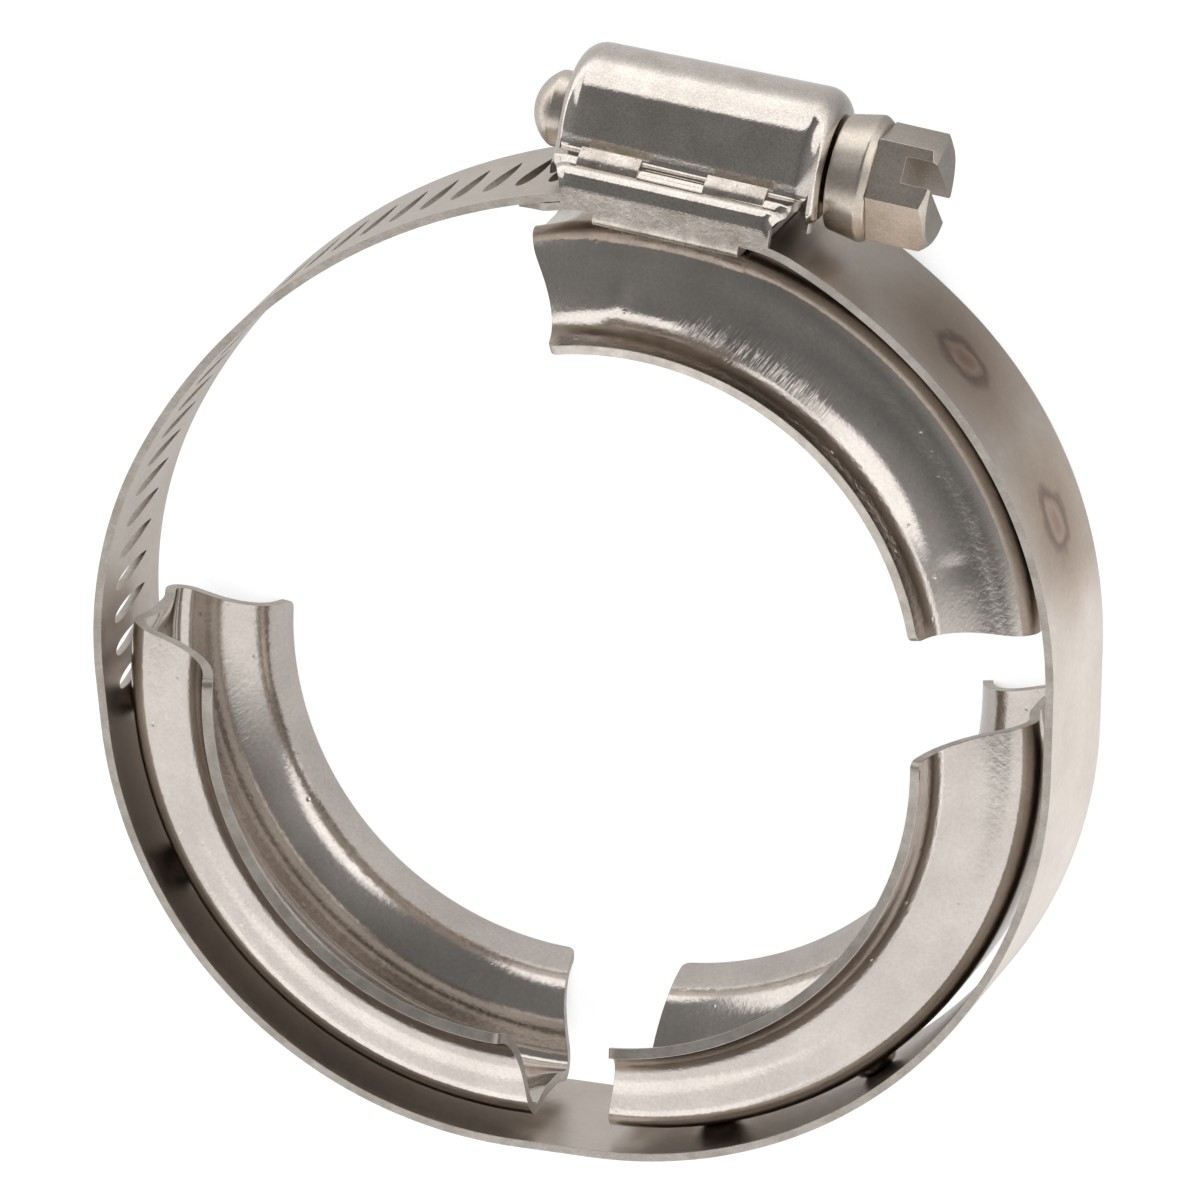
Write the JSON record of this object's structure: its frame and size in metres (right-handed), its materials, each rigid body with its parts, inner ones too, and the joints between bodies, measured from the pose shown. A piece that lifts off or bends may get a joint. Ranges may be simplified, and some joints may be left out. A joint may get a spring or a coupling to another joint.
{
  "type": "worm-drive band clamp with v-section inserts",
  "caption": "Open stainless worm-drive band clamp with V-section inserts that pull joined pipe flanges together, with a slotted hexagon screw in a drawn housing.",
  "frame": {"origin": "on the ring axis at the band's mid-width, the centre of the closed clamp's throat", "axes": "+Z along the ring axis, +Y from the ring axis to the screw housing, +X along the screw towards its hexagon"},
  "size_m": [0.0747, 0.0849, 0.021],
  "materials": {
    "band_steel": "rolled stainless strip with heat tint at the welds",
    "saddle_steel": "pressed stainless sheet",
    "housing_steel": "deep drawn stainless, bright with a fine orange-peel grain",
    "screw_steel": "machined steel",
    "insert_steel": "roll-formed stainless with a satin mottle"
  },
  "bodies": {
    "clamp": {"band": "band_steel", "saddle": "saddle_steel", "housing": "housing_steel", "insert_top": "insert_steel", "insert_right": "insert_steel", "insert_left": "insert_steel"},
    "screw": {"worm_screw": "screw_steel"}
  },
  "joints": [
    {"name": "screw_turn", "type": "hinge", "parent": "clamp", "child": "screw", "pos_m": [0, 0.04187, 0], "axis": [1, 0, 0], "continuous": true, "deforming": ["band"]}
  ]
}
